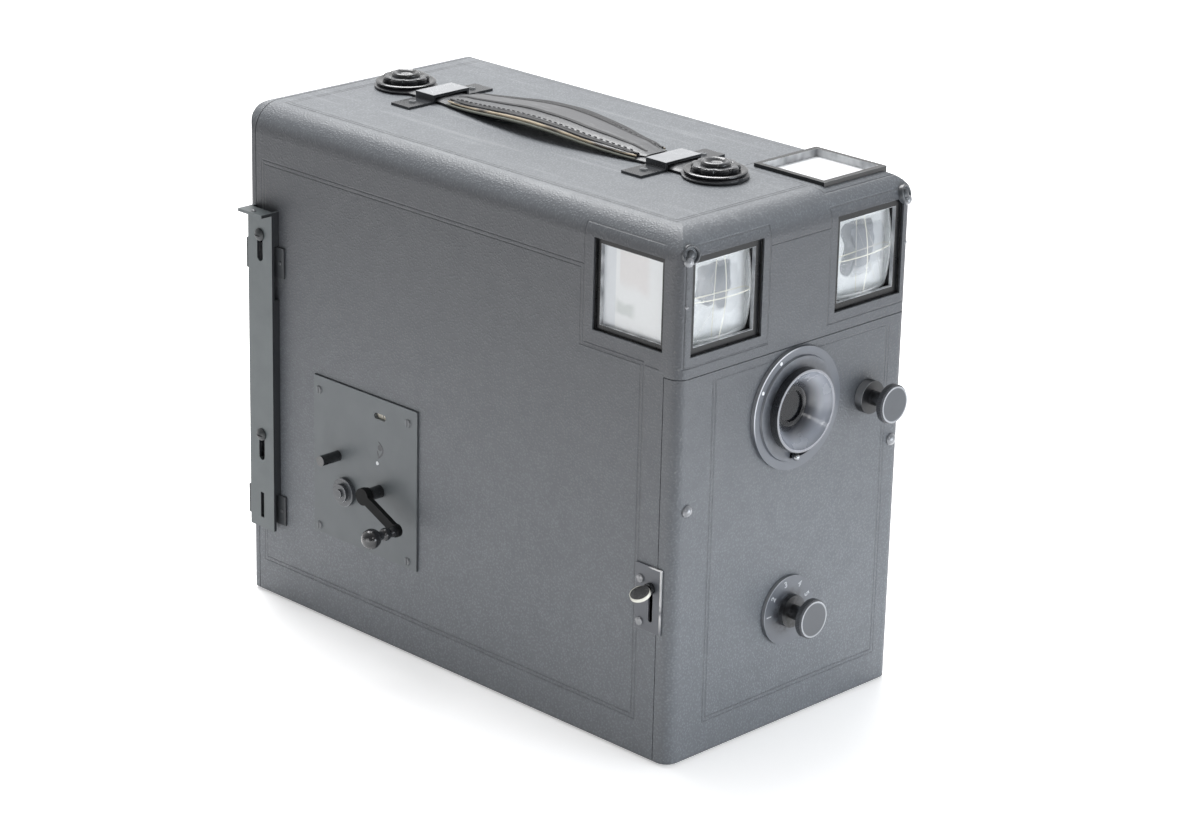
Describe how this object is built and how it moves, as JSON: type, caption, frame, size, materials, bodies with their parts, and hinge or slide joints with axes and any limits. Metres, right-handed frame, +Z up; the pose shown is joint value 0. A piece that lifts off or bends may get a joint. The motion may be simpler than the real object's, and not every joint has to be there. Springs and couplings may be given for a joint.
{
  "type": "detective camera",
  "caption": "Leather-covered wooden box camera for glass plates, with two reflecting finders, hinged front and back, a crank-worked plate magazine and a strap handle.",
  "frame": {"origin": "mouth of the tripod bush, in the middle of the base, at the level of the feet", "axes": "+Z up; the lens looks along -Y; the crank is on the -X side"},
  "size_m": [0.1513, 0.2438, 0.2084],
  "materials": {
    "leather": "matte grained",
    "wood": "satin",
    "black_metal": "gloss",
    "grey_metal": "satin",
    "steel": "satin",
    "nickel": "polished",
    "brass": "satin",
    "glass": "polished",
    "ground_glass": "frosted",
    "mirror": "polished",
    "ivory": "satin"
  },
  "bodies": {
    "case": {"case_shell": "wood", "base_board": "wood", "case_leather": "leather", "tripod_bush": "brass", "feet": "black_metal", "finder_boxes": "black_metal", "finder_front_frames": "black_metal", "finder_front_glasses": "glass", "finder_mirrors": "mirror", "viewing_glasses": "ground_glass", "side_viewing_frame": "black_metal", "top_viewing_frame": "grey_metal", "frame_nails": "nickel", "handle_strap": "leather", "handle_studs": "black_metal", "handle_bridges": "black_metal", "screws": "steel", "mechanism_plate": "grey_metal", "mechanism_back_plate": "brass", "magazine_frame": "black_metal", "plate_sheaths": "black_metal", "glass_plates": "glass", "latch_plate": "grey_metal", "case_hinge_leaves": "brass"},
    "pusher": {"pusher_plate": "steel"},
    "door": {"back_door": "wood", "back_door_leather": "leather", "light_trap": "wood", "back_hinge_leaves": "brass", "hasps": "black_metal", "pusher_springs": "steel"},
    "bar": {"lock_bar": "grey_metal"},
    "latch": {"latch_slide": "black_metal"},
    "crank": {"crank_shaft": "steel", "crank_arm": "black_metal", "release_fingers": "brass", "drive_pinion": "brass"},
    "handle": {"crank_handle": "black_metal"},
    "counter": {"counter_wheel": "ivory"},
    "pin": {"push_pin": "black_metal"},
    "knob": {"lock_knob": "black_metal"},
    "front": {"front_panel": "wood", "front_panel_leather": "leather", "front_hinge_leaves": "brass", "front_keeper": "brass", "panel_studs": "nickel", "lens_flange": "black_metal", "lens_hood": "black_metal", "lens_glasses": "glass", "iris_housing": "black_metal", "rear_cell": "brass", "shutter_plate": "black_metal"},
    "iris_control": {"iris_ring": "black_metal"},
    "iris_1": {"iris_blade_1": "black_metal"},
    "iris_2": {"iris_blade_2": "black_metal"},
    "iris_3": {"iris_blade_3": "black_metal"},
    "iris_4": {"iris_blade_4": "black_metal"},
    "shutter": {"shutter_blade": "black_metal", "shutter_knob": "grey_metal"},
    "dial": {"speed_dial": "black_metal"}
  },
  "joints": [
    {"name": "front_panel_hinge", "type": "hinge", "parent": "case", "child": "front", "pos_m": [0.06305, -0.10735, 0.072], "axis": [0, 0, 1], "range_deg": [0, 170]},
    {"name": "latch_travel", "type": "slide", "parent": "case", "child": "latch", "axis": [0, 0, -1], "range_m": [0, 0.012]},
    {"name": "back_door_hinge", "type": "hinge", "parent": "case", "child": "door", "pos_m": [0.06305, 0.11035, 0.099], "axis": [0, 0, -1], "range_deg": [0, 170]},
    {"name": "lock_bar_travel", "type": "slide", "parent": "case", "child": "bar", "axis": [0, 0, 1], "range_m": [0, 0.009]},
    {"name": "crank_turn", "type": "hinge", "parent": "case", "child": "crank", "pos_m": [-0.061, 0.0382, 0.0632], "axis": [-1, 0, 0], "continuous": true},
    {"name": "crank_handle_spin", "type": "hinge", "parent": "crank", "child": "handle", "pos_m": [-0.075, 0.01985, 0.05476], "axis": [-1, 0, 0], "continuous": true},
    {"name": "counter_turn", "type": "hinge", "parent": "case", "child": "counter", "pos_m": [-0.059, 0.0382, 0.0807], "axis": [-1, 0, 0], "continuous": true},
    {"name": "push_pin_travel", "type": "slide", "parent": "case", "child": "pin", "axis": [1, 0, 0], "range_m": [0, 0.004], "stiffness_N_per_m": 300, "springref_m": -0.002},
    {"name": "lock_knob_turn", "type": "hinge", "parent": "case", "child": "knob", "pos_m": [-0.061, 0.0575, 0.0576], "axis": [-1, 0, 0], "range_deg": [0, 90]},
    {"name": "pusher_travel", "type": "slide", "parent": "case", "child": "pusher", "axis": [0, 1, 0], "range_m": [0, 0.008], "stiffness_N_per_m": 400, "springref_m": -0.01, "deforming": ["pusher_springs"]},
    {"name": "iris_ring_turn", "type": "hinge", "parent": "front", "child": "iris_control", "pos_m": [0, -0.109, 0.1237], "axis": [0, -1, 0], "range_deg": [0, 60]},
    {"name": "iris_blade_1_turn", "type": "hinge", "parent": "front", "child": "iris_1", "pos_m": [0.0166, -0.1074, 0.1237], "axis": [0, 1, 0], "range_deg": [0, 30]},
    {"name": "iris_blade_2_turn", "type": "hinge", "parent": "front", "child": "iris_2", "pos_m": [0, -0.1074, 0.1071], "axis": [0, 1, 0], "range_deg": [0, 30]},
    {"name": "iris_blade_3_turn", "type": "hinge", "parent": "front", "child": "iris_3", "pos_m": [-0.0166, -0.1074, 0.1237], "axis": [0, 1, 0], "range_deg": [0, 30]},
    {"name": "iris_blade_4_turn", "type": "hinge", "parent": "front", "child": "iris_4", "pos_m": [0, -0.1074, 0.1403], "axis": [0, 1, 0], "range_deg": [0, 30]},
    {"name": "shutter_turn", "type": "hinge", "parent": "front", "child": "shutter", "pos_m": [0.0394, -0.107, 0.1189], "axis": [0, -1, 0], "range_deg": [0, 50], "stiffness_Nm_per_rad": 0.01, "springref_deg": -28.65},
    {"name": "speed_dial_turn", "type": "hinge", "parent": "front", "child": "dial", "pos_m": [0, -0.11, 0.0455], "axis": [0, 1, 0], "range_deg": [0, 160]}
  ],
  "couplings": [
    {"joint": "counter_turn", "follows": "crank_turn", "ratio": -0.25},
    {"joint": "iris_blade_1_turn", "follows": "iris_ring_turn", "ratio": 0.5},
    {"joint": "iris_blade_2_turn", "follows": "iris_ring_turn", "ratio": 0.5},
    {"joint": "iris_blade_3_turn", "follows": "iris_ring_turn", "ratio": 0.5},
    {"joint": "iris_blade_4_turn", "follows": "iris_ring_turn", "ratio": 0.5}
  ]
}
